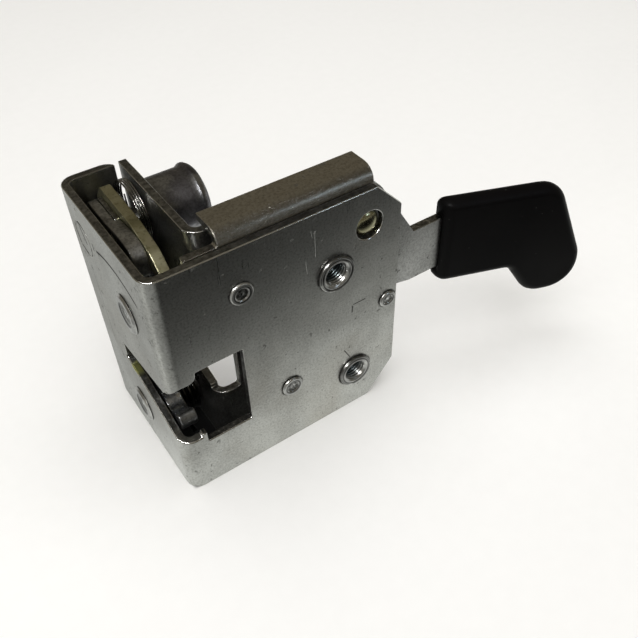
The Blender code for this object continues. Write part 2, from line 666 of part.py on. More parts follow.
def make_release_arm():
    """Riveted to the pawl's nose; its tip lies under the lever, its tail runs down the case."""
    tail = ARM_TAIL_Z - PAWL_AXIS[1]
    knee = ARM_REACH - 6.5 * MM
    arm = rounded([
        (3.6 * MM, 12.0 * MM, 2.5 * MM), (-16.3 * MM, 11.3 * MM, 10 * MM),
        (-27.2 * MM, 8.4 * MM, 4 * MM), (-knee, 3.3 * MM, 2 * MM),
        (-ARM_REACH, 3.3 * MM, 1.2 * MM), (-ARM_REACH, -1.6 * MM, 1.2 * MM),
        (-knee, -1.6 * MM, 1 * MM), (-29.4 * MM, 1.9 * MM, 2 * MM),
        (-12.4 * MM, 1.9 * MM, 3 * MM), (-7.6 * MM, -9.0 * MM, 5 * MM),
        (-4.9 * MM, tail / 2, 20 * MM), (-5.1 * MM, tail, 1 * MM),
        (0.9 * MM, tail, 1.6 * MM), (2.6 * MM, tail / 2, 20 * MM),
        (8.0 * MM, -8.0 * MM, 4 * MM), (PAWL_BACK, 6.0 * MM, 3 * MM)])
    bore = BUSH_RADIUS + FIT
    item = plate("release_arm", arm, "X", ARM_START, ARM_END, PAWL, "yellow_zinc")
    hole(item, "cut_arm", "X", (0.0, 0.0), bore, 0.0, 2 * ARM_END, PAWL)
    hole(item, "cut_arm_rivet", "X", ARM_RIVET, RIVET_SHANK + FIT, 0.0, 2 * ARM_END, PAWL)

    profile = tube(PAWL_START, ARM_END, AXLE_RADIUS + RUN, BUSH_RADIUS)
    turned("pawl_bush", profile, "X", (0.0, 0.0), PAWL, "bright_zinc")
    head = 0.8 * MM
    profile = rod([
        (PAWL_START, ARM_END + SEAT, RIVET_SHANK),
        (ARM_END + SEAT, ARM_END + SEAT + head, RIVET_SHANK + 0.9 * MM)])
    turned("arm_rivet", profile, "X", ARM_RIVET, PAWL, "bright_zinc", SMALL_ROUND)


def make_pawl_spring():
    start = ARM_END + RUN
    profile = tube(start, start + WASHER_THICKNESS, AXLE_RADIUS + FIT, WASHER_RADIUS)
    turned("spring_washer", profile, "X", PAWL_AXIS, HOUSING, "bright_zinc")
    coil_start = start + WASHER_THICKNESS + COIL_ROOM + PAWL_WIRE
    coil_end = REAR_WALL_X - COIL_ROOM - PAWL_WIRE
    points = coil_points(coil_start, coil_end, PAWL_COIL, PAWL_TURNS, math.pi)
    first = points[0]
    last = points[-1]
    points = [(first[0], first[1], first[2] - 14 * MM)] + points
    points.append((last[0], last[1] - 0.3 * MM, last[2] - 9 * MM))
    wire("pawl_spring", points, PAWL_WIRE, HOUSING, "spring", (0.0, *COIL_AXIS))


def make_lever():
    """A long bar over the release arm, a leg down the back of the case and a strip to the grip."""
    grip_depth = GRIP_START + GRIP_HOLD
    pivot_x, pivot_z = LEVER_AXIS
    bar_low = pivot_z - BAR_DROP
    bar_top = pivot_z + BAR_RISE
    tip = ARM_START - 0.1 * MM
    tip_low = PAWL_AXIS[1] + 3.9 * MM
    leg_front = pivot_x - LEG_FRONT
    leg_back = pivot_x + LEG_BACK
    middle = leg_front - 16.9 * MM
    stop_top = LEVER_STOP[1] + STOP_HEAD_RADIUS + RUN
    corners = [
        (tip, tip_low, MM), (tip + 4.1 * MM, tip_low, 0.6 * MM),
        (tip + 5.2 * MM, bar_low + 1.9 * MM, 1.5 * MM), (middle, bar_low, 10 * MM),
        (leg_front, bar_low, 2 * MM), (leg_front, stop_top + 4.5 * MM, 4 * MM),
        (LEVER_STOP[0] - 4.3 * MM, stop_top, 3 * MM), (LEVER_STOP[0] + 4.3 * MM, stop_top, 0.8 * MM),
        (leg_back - 0.6 * MM, LEVER_LOW + 2 * MM, MM), (leg_back + 8.6 * MM, LEVER_LOW, 4 * MM),
        (grip_depth, LEVER_LOW), (grip_depth, LEVER_TOP),
        (leg_back + 9 * MM, LEVER_TOP, MM), (leg_back, bar_low + 2 * MM, 4 * MM),
        (leg_back - 6.5 * MM, bar_top + 2.8 * MM, 7 * MM), (pivot_x - 7.8 * MM, bar_top + 2 * MM, 6 * MM),
        (middle, bar_top + 0.2 * MM, 10 * MM), (tip + 3.2 * MM, bar_top, 1.5 * MM),
        (tip, bar_top - 1.6 * MM, MM)]
    outline = rounded([(x - pivot_x, z - pivot_z, *fillet) for x, z, *fillet in corners])
    start = LEVER_Y
    item = plate("release_lever", outline, "Y", start, start + LEVER_THICKNESS, LEVER, "zinc")
    over = 3 * MM
    hole(item, "cut_lever", "Y", (0.0, 0.0), PIVOT_SHANK + RUN, start - over,
         start + LEVER_THICKNESS + over, LEVER)


def make_grip():
    """A moulding set at a yaw to the lever: its plan cut to its side outline, edges rounded."""
    start = GRIP_START - LEVER_AXIS[0]
    forward = Vector((math.cos(GRIP_YAW), -math.sin(GRIP_YAW)))
    reach = GRIP_LENGTH + 12 * MM
    across = GRIP_THICKNESS
    front = Vector((start, GRIP_FRONT))
    back = Vector((start, GRIP_FRONT + across))
    plan = [front, front + forward * reach, back + forward * reach, back]
    top = GRIP_TOP - LEVER_AXIS[1]
    low = GRIP_LOW - LEVER_AXIS[1]
    item = plate("grip", plan, "Z", low - LOBE_DROP - MM, top + MM, LEVER, "plastic")

    end = GRIP_LENGTH
    side = rounded([
        (-20 * MM, top + GRIP_TAPER), (end - 14.2 * MM, top - GRIP_TAPER / 2, 10 * MM),
        (end - 0.2 * MM, low, 14 * MM), (end - 2.0 * MM, low - LOBE_DROP, 10.5 * MM),
        (end - 19.0 * MM, low - LOBE_DROP, 9 * MM), (end - 28.0 * MM, low, 4 * MM),
        (-20 * MM, low)], 8)
    keeper = link("keep_grip_side", prism_mesh(side, 120 * MM), LEVER,
                  location=(front.x, front.y, 0.0),
                  rotation=(math.pi / 2, 0.0, -GRIP_YAW))
    modifier = item.modifiers.new("side_outline", "BOOLEAN")
    modifier.operation = "INTERSECT"
    modifier.solver = "EXACT"
    modifier.object = keeper
    bevel = item.modifiers.new("moulded_edges", "BEVEL")
    bevel.width = GRIP_EDGE
    bevel.segments = 4
    bevel.limit_method = "ANGLE"
    bevel.angle_limit = math.radians(40)

    pocket = SEAT
    depth = GRIP_START + GRIP_HOLD + pocket - LEVER_AXIS[0]
    slot = [
        (start - 5 * MM, LEVER_Y - pocket), (depth, LEVER_Y - pocket),
        (depth, LEVER_Y + LEVER_THICKNESS + pocket),
        (start - 5 * MM, LEVER_Y + LEVER_THICKNESS + pocket)]
    cutter = plate("cut_grip_pocket", slot, "Z", LEVER_LOW - LEVER_AXIS[1] - pocket,
                   LEVER_TOP - LEVER_AXIS[1] + pocket, LEVER)
    cut(item, cutter)


def make_lever_pivot():
    """Domed head in the side plate's clearance hole, shank through to the back plate."""
    seat = SHEET + REAR_GAP - SEAT
    rise = 2.0 * MM
    profile = [(0.0, BACK_FAR_Y + SEAT + TAIL_HEIGHT)]
    profile += [(4.6 * MM, BACK_FAR_Y + SEAT + TAIL_HEIGHT), (4.6 * MM, BACK_FAR_Y + SEAT)]
    profile += [(PIVOT_SHANK, BACK_FAR_Y + SEAT), (PIVOT_SHANK, seat), (DOME_RADIUS, seat)]
    for i in range(1, 6):
        angle = math.pi / 2 * i / 6
        profile.append((DOME_RADIUS * math.cos(angle), seat - 0.4 * MM - rise * math.sin(angle)))
    profile.append((0.0, seat - 0.4 * MM - rise))
    turned("lever_pivot", profile, "Y", LEVER_AXIS, HOUSING, "yellow_zinc")


def side_pin(name, centre, head, shank, barrel, tail, finish="bright_zinc"):
    """A rivet with a dished head on the side plate; barrel and tail are (radius, start, end)."""
    face = -SEAT - RIVET_HEIGHT
    steps = [(face, -SEAT, head), (-SEAT, barrel[1], shank)]
    steps += [(barrel[1], barrel[2], barrel[0])]
    if tail:
        steps += [(barrel[2], tail[1], shank), (tail[1], tail[2], tail[0])]
    round_over = 0.4 * MM
    dish = 0.62 * head
    profile = rod(steps)[:-2] + [
        (head, face + round_over), (head - round_over, face), (dish, face),
        (dish - round_over, face + RIVET_DISH), (0.0, face + RIVET_DISH)]
    turned(name, profile, "Y", centre, HOUSING, finish, SMALL_ROUND)


def make_side_pins():
    inside = SHEET + SEAT
    back = BACK_PLATE_Y - SEAT
    far = BACK_FAR_Y + SEAT
    side_pin("lever_stop", LEVER_STOP, STOP_HEAD_RADIUS, STOP_SHANK,
             (STOP_HEAD_RADIUS, inside, back), (STOP_HEAD_RADIUS, far, far + TAIL_HEIGHT))
    side_pin("lower_rivet", LOWER_RIVET, RIVET_RADIUS, RIVET_SHANK,
             (RIVET_SHANK, inside, back), (RIVET_RADIUS, far, far + TAIL_HEIGHT))
    tail = LEVER_Y - RUN
    side_pin("upper_rivet", UPPER_RIVET, RIVET_RADIUS, RIVET_SHANK,
             (RIVET_SHANK, inside, tail), None)
    profile = tube(inside, back, RIVET_SHANK + FIT, RIVET_RADIUS + 0.6 * MM)
    turned("lower_spacer", profile, "Y", LOWER_RIVET, HOUSING, "zinc", SMALL_ROUND)


def make_insert(name, centre):
    """A threaded insert: flange on the side plate, barrel through to the back plate."""
    face = -SEAT - INSERT_HEIGHT
    end = BACK_PLATE_Y - SEAT
    lead = 0.7 * MM
    profile = [
        (INSERT_BARREL, end), (INSERT_BARREL, -SEAT), (INSERT_RADIUS, -SEAT),
        (INSERT_RADIUS - 0.5 * MM, face), (INSERT_BORE + lead, face),
        (INSERT_BORE, face + lead), (INSERT_BORE, end)]
    turned(name, profile, "Y", centre, HOUSING, "bright_zinc")


clear_scene()
PARTS = add_collection("door_lock")
CUTTERS = add_collection("cutters")
ORIGIN = ((UPPER_INSERT[0] + LOWER_INSERT[0]) / 2, (UPPER_INSERT[1] + LOWER_INSERT[1]) / 2)
HOUSING = add_empty("housing_frame", (-ORIGIN[0], 0.0, -ORIGIN[1]))
CLAW = add_empty("claw_joint", (0.0, *CLAW_AXIS), HOUSING, (CLAW_OPEN, 0.0, 0.0))
PAWL = add_empty("pawl_joint", (0.0, *PAWL_AXIS), HOUSING)
LEVER = add_empty("lever_joint", (LEVER_AXIS[0], 0.0, LEVER_AXIS[1]), HOUSING)

make_outer_plate()
make_rear_bracket()
make_top_channel()
make_spring_cup()
make_pawl_axle()
ring_pin("claw_axle", CLAW_AXIS, SPACER_RADIUS, CLAW_START + CLAW_THICKNESS + SEAT)
ring_pin("stop_pin", STOP_AXIS, SPACER_RADIUS, REAR_WALL_X - SEAT)
make_claw_bush()
make_claw_spring()
make_claw()
make_pawl()
make_release_arm()
make_pawl_spring()
make_lever()
make_grip()
make_lever_pivot()
make_side_pins()
make_insert("insert_upper", UPPER_INSERT)
make_insert("insert_lower", LOWER_INSERT)
bpy.context.view_layer.update()
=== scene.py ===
# %% [markdown]
# # Dressing a vehicle door lock
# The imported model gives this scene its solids: a folded steel case, a claw and a pawl inside it,
# and a release lever with a moulded grip. This lesson gives each piece its real finish, rounds its
# edges as blanking and plating do, and adds the threads and coils that a hand would find. It works
# in metres, so a length is written as millimetres times MM.

# %% The frame
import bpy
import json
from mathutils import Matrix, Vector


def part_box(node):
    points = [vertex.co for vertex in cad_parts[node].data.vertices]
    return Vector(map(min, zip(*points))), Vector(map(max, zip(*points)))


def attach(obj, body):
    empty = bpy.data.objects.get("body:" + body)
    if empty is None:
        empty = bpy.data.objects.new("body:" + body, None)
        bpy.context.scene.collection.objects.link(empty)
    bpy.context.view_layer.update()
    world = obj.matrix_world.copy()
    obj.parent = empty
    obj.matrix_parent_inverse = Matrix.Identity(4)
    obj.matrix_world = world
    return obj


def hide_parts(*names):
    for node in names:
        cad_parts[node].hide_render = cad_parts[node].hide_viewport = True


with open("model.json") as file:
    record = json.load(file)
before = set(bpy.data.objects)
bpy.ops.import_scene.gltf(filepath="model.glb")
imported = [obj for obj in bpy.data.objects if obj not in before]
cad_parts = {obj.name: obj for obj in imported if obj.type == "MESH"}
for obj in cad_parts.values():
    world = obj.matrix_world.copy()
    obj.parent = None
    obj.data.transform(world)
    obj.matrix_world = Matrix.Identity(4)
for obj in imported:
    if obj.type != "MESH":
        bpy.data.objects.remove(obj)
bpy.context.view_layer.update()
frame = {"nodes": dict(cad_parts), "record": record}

import json
import math

import bmesh
import bpy
from mathutils import Matrix, Vector

MM = 0.001
NODES = frame["nodes"]
BODY_OF = {node: body for body, held in frame["record"]["behaviour"]["bodies"].items()
           for node in held}


# %% [markdown]
# The lock is seen from above its striker corner, with the case turned so that two faces and the top
# show. The camera's place and the three directions of its frame were solved from the straight edges
# of the case, so a small roll stays in them. It comes first.

# %% Camera
CAMERA_PLACE = Vector((-95.11, -129.84, 159.50)) * MM
CAMERA_RIGHT = Vector((0.82239, -0.56841, -0.02421))
CAMERA_DOWN = Vector((-0.41113, -0.56435, -0.71588))
LENS_MM = 41.216
SENSOR_MM = 36.0
NEAREST = 5 * MM


def make_camera():
    data = bpy.data.cameras.new("camera")
    data.lens = LENS_MM
    data.sensor_width = SENSOR_MM
    data.clip_start = NEAREST
    camera = bpy.data.objects.new("camera", data)
    back = CAMERA_DOWN.cross(CAMERA_RIGHT)
    turn = Matrix((CAMERA_RIGHT, -CAMERA_DOWN, back)).transposed()
    camera.matrix_world = Matrix.Translation(CAMERA_PLACE) @ turn.to_4x4()
    bpy.context.scene.collection.objects.link(camera)
    bpy.context.scene.camera = camera


make_camera()
print("camera", round(CAMERA_PLACE.length, 3), "m from the origin")


# %% [markdown]
# A finish is easier to read as arithmetic than as boxes and wires. This small class wraps a socket,
# so that an expression such as `1 - grime * 0.3` adds its own Math nodes. Colours never pass
# through Math nodes, which would turn them grey: they are mixed.

# %% Arithmetic on sockets
class Value:
    """A socket that carries one number or vector, with the operators that the finishes use."""

    def __init__(self, finish, socket):
        self.finish = finish
        self.socket = socket

    def _math(self, operation, first, second=None):
        values = {0: first} if second is None else {0: first, 1: second}
        return self.finish.add("ShaderNodeMath", {"operation": operation}, values)

    def __add__(self, other):
        return self._math("ADD", self, other)

    def __mul__(self, other):
        return self._math("MULTIPLY", self, other)

    def __sub__(self, other):
        return self._math("SUBTRACT", self, other)

    def __rsub__(self, other):
        return self._math("SUBTRACT", other, self)

    def __pow__(self, other):
        return self._math("POWER", self, other)

    __radd__ = __add__
    __rmul__ = __mul__

    def most(self, other):
        return self._math("MAXIMUM", self, other)

    def size(self):
        return self._math("ABSOLUTE", self)

    def step(self, low, high, start=0.0, end=1.0):
        """A smooth step: start below low, end above high."""
        settings = {"interpolation_type": "SMOOTHSTEP"}
        values = {"Value": self, "From Min": low, "From Max": high, "To Min": start, "To Max": end}
        return self.finish.add("ShaderNodeMapRange", settings, values)

    def fall(self, low, high, start=1.0):
        """A smooth step down to nothing."""
        return self.step(low, high, start, 0.0)


# %% [markdown]
# A second class holds one material. Its patterns are read at Object coordinates, so they lie in the
# metal as it turns. A noise scale is a count per metre, because the lock is built in metres: 55
# gives clouds 18 mm wide, and 1500 gives grain of 0.7 mm.

# %% One material and its nodes
class Finish:
    """One material and the nodes that feed its shader."""

    SOCKETS = {"colour": "Base Color", "roughness": "Roughness", "metallic": "Metallic",
               "normal": "Normal", "glow": "Emission Color"}

    def __init__(self, name):
        self.material = bpy.data.materials.new(name)
        self.material.use_nodes = True
        self.tree = self.material.node_tree
        self.shader = self.tree.nodes["Principled BSDF"]
        self.place = self.add("ShaderNodeTexCoord", out="Object")
        self.x, self.y, self.z = self.split(self.place)

    def add(self, kind, settings=None, values=None, out=0):
        node = self.tree.nodes.new(kind)
        for name, setting in (settings or {}).items():
            if name == "stops":
                self._set_stops(node.color_ramp, setting)
            else:
                setattr(node, name, setting)
        for name, value in (values or {}).items():
            if isinstance(value, Value):
                self.tree.links.new(value.socket, node.inputs[name])
            else:
                node.inputs[name].default_value = value
        return Value(self, node.outputs[out])

    def _set_stops(self, ramp, stops):
        while len(ramp.elements) < len(stops):
            ramp.elements.new(0.5)
        for element, (place, colour) in zip(ramp.elements, stops):
            element.position = place
            element.color = (*colour, 1.0)

    def split(self, vector):
        node = self.add("ShaderNodeSeparateXYZ", values={0: vector}).socket.node
        return [Value(self, node.outputs[i]) for i in range(3)]

    def reach(self, axis, centre):
        """The distance from a line along one axis, which stands at centre in the other two."""
        first, second = [value for value, name in zip((self.x, self.y, self.z), "XYZ")
                         if name != axis]
        across = first - centre[0]
        along = second - centre[1]
        return (across * across + along * along) ** 0.5

    def stretched(self, scale):
        return self.add("ShaderNodeMapping", {"vector_type": "POINT"},
                        {"Vector": self.place, "Scale": scale})

    def noise(self, scale, detail, rough, where=None, warp=0.0):
        values = {"Vector": where or self.place, "Scale": scale, "Detail": detail,
                  "Roughness": rough, "Distortion": warp}
        return self.add("ShaderNodeTexNoise", values=values)

    def blend(self, share, first, second):
        settings = {"data_type": "RGBA", "clamp_factor": True}
        result = self.add("ShaderNodeMix", settings, out=2)
        node = result.socket.node
        for index, value in ((0, share), (6, first), (7, second)):
            if isinstance(value, Value):
                self.tree.links.new(value.socket, node.inputs[index])
            elif index == 0:
                node.inputs[index].default_value = value
            else:
                node.inputs[index].default_value = (*value, 1.0)
        return result

    def bump(self, height, depth, strength):
        values = {"Height": height, "Distance": depth, "Strength": strength}
        return self.add("ShaderNodeBump", values=values)

    def fix(self, socket, value):
        """Sets a socket of the shader that is the same all over the surface."""
        self.shader.inputs[socket].default_value = value

    def send(self, **sockets):
        for name, value in sockets.items():
            if isinstance(value, Value):
                self.tree.links.new(value.socket, self.shader.inputs[self.SOCKETS[name]])
            else:
                self.fix(self.SOCKETS[name], value)
        return self.material


# %% [markdown]
# Plated steel shows its surroundings more than its own colour, so the studio is part of the finish.
# The floor is pale paper, dark only inside the walls of the case, where no light reaches it. For
# reflections alone, a glowing card lies on the floor: bright at the lock and dark in front of it,
# so that the side plate falls from light at its foot to dark at its top.

# %% Floor and card
CASE_BASE = -39.55 * MM
FLOOR_SIZE, FLOOR_GAP = 4.0, 0.06 * MM
CARD_SIZE, CARD_GAP = 1.2, 0.02 * MM
PAPER = ((0.90, 0.90, 0.895), (0.93, 0.93, 0.925))
PAPER_IN_SHADE = (0.02, 0.02, 0.02)
BLACK = (0.0, 0.0, 0.0)
GLOW = (1.0, 1.01, 0.965)


def under_lock(finish):
    """One inside the walls of the case, where no light reaches the paper."""
    start = finish.x.step(-59 * MM, -57 * MM) * finish.y.step(0.0, 1.5 * MM)
    box = finish.x.fall(-42 * MM, -39 * MM) * finish.y.fall(54 * MM, 56 * MM)
    tail = finish.x.fall(2 * MM, 6 * MM) * finish.y.fall(9 * MM, 11 * MM)
    return start * box.most(tail)


def floor_finish():
    finish = Finish("floor_paper")
    grain = finish.noise(180.0, 3.0, 0.5)
    paper = finish.blend(grain, *PAPER)
    return finish.send(colour=finish.blend(under_lock(finish), paper, PAPER_IN_SHADE),
                       roughness=0.65)


def card_finish():
    """Bright beside the lock, dark from a hand's breadth in front of it, and dark under it."""
    finish = Finish("reflection_card")
    ahead = finish.y * -1.0 - finish.x * 0.14
    glow = ahead.fall(-2 * MM, 75 * MM, 0.88)
    glow = glow.most(finish.x.fall(-105 * MM, -58 * MM, 0.34))
    glow = glow * finish.y.step(0.0, 50 * MM, 1.0, 0.60)
    glow = glow * (1.0 - under_lock(finish) * 0.985)
    finish.fix("Base Color", (*BLACK, 1.0))
    finish.fix("Specular IOR Level", 0.0)
    finish.fix("Emission Strength", 1.0)
    return finish.send(glow=finish.blend(glow, BLACK, GLOW))


def new_object(name, data):
    thing = bpy.data.objects.new(name, data)
    bpy.context.scene.collection.objects.link(thing)
    return thing


def make_panel(name, size, height, material):
    mesh = bpy.data.meshes.new(name)
    body = bmesh.new()
    bmesh.ops.create_grid(body, x_segments=1, y_segments=1, size=size / 2)
    body.to_mesh(mesh)
    body.free()
    mesh.materials.append(material)
    panel = new_object(name, mesh)
    panel.location = (0.0, 0.0, height)
    return panel


make_panel("floor", FLOOR_SIZE, CASE_BASE - FLOOR_GAP, floor_finish())
card = make_panel("card", CARD_SIZE, CASE_BASE - CARD_GAP, card_finish())
card.visible_camera = False
card.visible_shadow = False
card.visible_diffuse = False
print("floor at", round(CASE_BASE, 5))


# %% [markdown]
# A wide lamp overhead lights the pale floor. It isn't itself reflected, or it would lie as a white
# sheet on the metal. A long, narrow lamp and a small bluish one do the opposite: they light nothing
# and are only reflected, as the bright lines along bends and rims. The room is dim and warm, which
# keeps the tops and the inside of the lock dark.

# %% Lamps and room
ORIGIN = (0.0, 0.0, 0.0)
WHITE = (1.0, 1.0, 1.0)
ROOM_LIGHT = (0.150, 0.132, 0.098)


def make_lamp(name, size, power, place, aim=ORIGIN, colour=WHITE):
    """A rectangular lamp: its size in metres, its power in watts, where it is and looks."""
    data = bpy.data.lights.new(name, "AREA")
    data.shape = "RECTANGLE"
    data.size, data.size_y = size
    data.energy = power
    data.color = colour
    lamp = new_object(name, data)
    lamp.location = place
    lamp.rotation_mode = "QUATERNION"
    lamp.rotation_quaternion = (Vector(aim) - Vector(place)).to_track_quat("-Z", "Y")
    return lamp


overhead = make_lamp("lamp_overhead", (1.6, 1.6), 20.0, (-0.1, -0.1, 1.1))
overhead.visible_glossy = False
rim_lamps = (
    make_lamp("lamp_right", (0.03, 0.03), 0.020, (0.10, -0.17, 0.11), (0.02, 0.0, 0.05),
              colour=(0.66, 0.82, 1.0)),
    make_lamp("lamp_left", (0.50, 0.025), 3.6, (-0.40, -0.24, 0.46)))
for lamp in rim_lamps:
    lamp.visible_diffuse = False

world = bpy.data.worlds.new("studio")
world.use_nodes = True
sky = world.node_tree.nodes["Background"]
sky.inputs["Color"].default_value = (*ROOM_LIGHT, 1.0)
sky.inputs["Strength"].default_value = 1.0
bpy.context.scene.world = world
bpy.context.scene.view_settings.view_transform = "Standard"
print("lit by", 1 + len(rim_lamps), "lamps")


# %% [markdown]
# A imported solid is loose triangles with knife edges, and real blanks and mouldings have neither. So
# each solid is copied and its doubles are merged, flat areas are cleaned of spare edges, and a
# Bevel rounds what is sharper than a given angle. Weighted normals then keep the flats flat. The
# finished copy takes its solid's place: it rides on the same body, carries its finish and hides the
# solid.

# %% Rounded copies of the solids
SAME_POINT = 0.002 * MM
FLAT_WITHIN = math.radians(0.4)
SHARP_FROM = math.radians(35.0)
PULL_OF_FLATS = 80


def apply_modifiers(piece):
    """Makes what the modifiers show the piece's own mesh, and takes them off."""
    rough = piece.data
    graph = bpy.context.evaluated_depsgraph_get()
    made = bpy.data.meshes.new_from_object(piece.evaluated_get(graph))
    piece.modifiers.clear()
    piece.data = made
    bpy.data.meshes.remove(rough)


def take_place(piece, node):
    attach(piece, BODY_OF[node])
    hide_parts(node)


def dressed(node, material, edge=0.0, segments=2):
    """A copy of a node's solid in its finish, with edges rounded to a width."""
    body = bmesh.new()
    body.from_mesh(NODES[node].data)
    bmesh.ops.remove_doubles(body, verts=body.verts, dist=SAME_POINT)
    bmesh.ops.dissolve_limit(body, angle_limit=FLAT_WITHIN, verts=body.verts, edges=body.edges)
    for face in body.faces:
        face.smooth = True
    mesh = bpy.data.meshes.new(node + "_dressed")
    body.to_mesh(mesh)
    body.free()
    mesh.materials.append(material)
    piece = new_object(node + "_dressed", mesh)
    if edge:
        bevel = piece.modifiers.new("rounded_edges", "BEVEL")
        bevel.width = edge
        bevel.segments = segments
        bevel.limit_method = "ANGLE"
        bevel.angle_limit = SHARP_FROM
        bevel.use_clamp_overlap = False
    even = piece.modifiers.new("flats_stay_flat", "WEIGHTED_NORMAL")
    even.mode = "FACE_AREA"
    even.weight = PULL_OF_FLATS
    even.keep_sharp = True
    apply_modifiers(piece)
    take_place(piece, node)
    print("dressed", node, len(piece.data.polygons), "faces")


# %% [markdown]
# Blanked edges have no smooth zinc skin: they are darker and rougher than the sheet. A shader can
# find them by where a face looks. A cut end of the case looks along Z, and the rim of a window
# looks in any direction but that of the wall that it is cut in.

# %% Where the sheet was cut
def facing(finish):
    """The direction in which the surface looks, in its three parts."""
    return finish.split(finish.add("ShaderNodeTexCoord", out="Normal"))


def looks_along(part):
    return part.size().step(0.93, 0.98)


def looks_across(part):
    return part.size().fall(0.1, 0.3)


def ends_along_z(finish):
    return looks_along(facing(finish)[2])


def edges_around_x(finish):
    return looks_across(facing(finish)[0])


def edges_across_y(finish):
    return looks_across(facing(finish)[1])


def edges_of_case(finish):
    """Cut faces of the folded case: its ends, the side window's rim and the slot's rim."""
    along_x, along_y, along_z = facing(finish)
    window = looks_across(along_y) * finish.y.fall(2.5 * MM, 2.7 * MM)
    window = window * finish.x.step(-52.0 * MM, -50.0 * MM)
    slot = looks_across(along_x) * finish.y.step(4.0 * MM, 6.0 * MM)
    slot = slot * finish.x.fall(-56.9 * MM, -56.6 * MM)
    return looks_along(along_z).most(window).most(slot)


def edges_of_channel(finish):
    """The flange's ends, and the top of the low wall that runs on before the flange."""
    along_x, _, along_z = facing(finish)
    low_wall = looks_along(along_z) * finish.z.fall(47 * MM, 48 * MM)
    return looks_along(along_x).most(low_wall)


# %% [markdown]
# The sheet is rolled steel with zinc on it. Close up the zinc is cloudy, a little warmer in some
# places than in others, pitted with dark specks, and combed by fine scratches from handling. Each
# of these is a noise of its own size, and they are laid over one another from wide to fine. The
# rims come last: the round between a wall and its cut end, found by the way it faces, gets a
# painted highlight.

# %% Finish: zinc on sheet
SHEET_LIGHT = (0.55, 0.555, 0.53)
SHEET_DULL = (0.40, 0.40, 0.38)
SHEET_WARM = (0.37, 0.345, 0.30)
EDGE_LIGHT = (0.275, 0.275, 0.27)
EDGE_DARK = (0.075, 0.075, 0.073)
SPECK = (0.10, 0.10, 0.09)
# Bright grain and scratches, and painted glints on cut edges.
BRIGHT_GRAIN_AND_GLINT = (0.62, 0.63, 0.61)
# A painted highlight for the rounded rims.
PAINTED_RIM_HIGHLIGHT = (0.80, 0.80, 0.77)
DULL_FILM_AND_SHADE = (0.10, 0.10, 0.095)
STRAW_FILM = (0.66, 0.68, 0.24)
DARK_MARK_AND_SHADE = (0.02, 0.018, 0.017)
# Bare scratches, and painted glints on the flange's bend.
BARE_SCRATCH_AND_GLINT = (0.75, 0.75, 0.73)


def cut_metal(finish, shear):
    """The torn grain of a cut edge, with painted glints: strong low on the case, faint along its top.
    """
    cut = finish.blend(shear.step(0.28, 0.72), EDGE_DARK, EDGE_LIGHT)
    # Painted glints, strong low on the case and faint along its top.
    painted_glints = shear.step(0.60, 0.68) * finish.z.step(36 * MM, 42 * MM, 0.85, 0.12)
    return finish.blend(painted_glints, cut, BRIGHT_GRAIN_AND_GLINT)


def zinc_sheet(name, light=SHEET_LIGHT, dull=SHEET_DULL, warm=SHEET_WARM, edges=ends_along_z,
               marks=None, bumpy=0.5, rim_highlight=0.7):
    finish = Finish(name)
    clouds = finish.noise(55.0, 4.0, 0.6).step(0.36, 0.66)
    stains = finish.noise(23.0, 3.0, 0.5, warp=0.6).step(0.50, 0.74)
    grain = finish.noise(1500.0, 3.0, 0.6)
    specks = finish.noise(430.0, 2.0, 0.5).step(0.665, 0.71)
    scratches = finish.noise(60.0, 2.0, 0.5, finish.stretched((30.0, 30.0, 1.0)))
    scratches = scratches.step(0.60, 0.72)
    colour = finish.blend(clouds * 0.7, dull, light)
    colour = finish.blend(stains * 0.5, colour, warm)
    colour = finish.blend(grain.step(0.50, 0.66) * 0.30, colour, BRIGHT_GRAIN_AND_GLINT)
    colour = finish.blend(grain.fall(0.36, 0.50) * 0.30, colour, SPECK)
    colour = finish.blend(specks * 0.5, colour, SPECK)
    colour = finish.blend(scratches * clouds * 0.16, colour, BRIGHT_GRAIN_AND_GLINT)
    # The rounded rims, picked by the way they face, get a painted highlight.
    slope = facing(finish)[2].size()
    rim = slope.step(0.25, 0.45) * slope.fall(0.80, 0.93) * rim_highlight
    colour = finish.blend(rim, colour, PAINTED_RIM_HIGHLIGHT)
    torn = edges(finish)
    shear = finish.noise(760.0, 3.0, 0.6)
    colour = finish.blend(torn * 0.9, colour, cut_metal(finish, shear))
    roughness = (0.35 + clouds * -0.05 + stains * 0.07 + specks * 0.2 + scratches * -0.06
                 - rim * 0.17)
    height = grain * 0.5 + specks * -0.8 + scratches * -0.12 + torn * shear * 1.6
    if marks:
        dark, pale, straw, inside = marks(finish)
        # Painted shade: the inside of the case, and the dark reflection along the flange's bend.
        colour = finish.blend(inside * 0.6, colour, DULL_FILM_AND_SHADE)
        colour = finish.blend(straw * 0.8, colour, STRAW_FILM)
        # Dark marks, and painted shade along the back of the case's top edge.
        colour = finish.blend(dark * 0.95, colour, DARK_MARK_AND_SHADE)
        roughness = roughness + dark * 0.3
        # Pale scratches, and painted glints along the flange's bend.
        colour = finish.blend(pale * 0.6, colour, BARE_SCRATCH_AND_GLINT)
        height = height - dark * 0.4 - pale * 1.5
    return finish.send(colour=colour, roughness=roughness, metallic=1.0,
                       normal=finish.bump(height, 0.05 * MM, bumpy))


# %% [markdown]
# Most of the sheet pieces differ only in tone: they are painted darker than the case, as painted
# shade, because the bracket and the pawl's plate lie deeper in the lock and the lever lies beside the
# grip. A lever cut from flat sheet shows its edges all round, so it names its own rule for them.

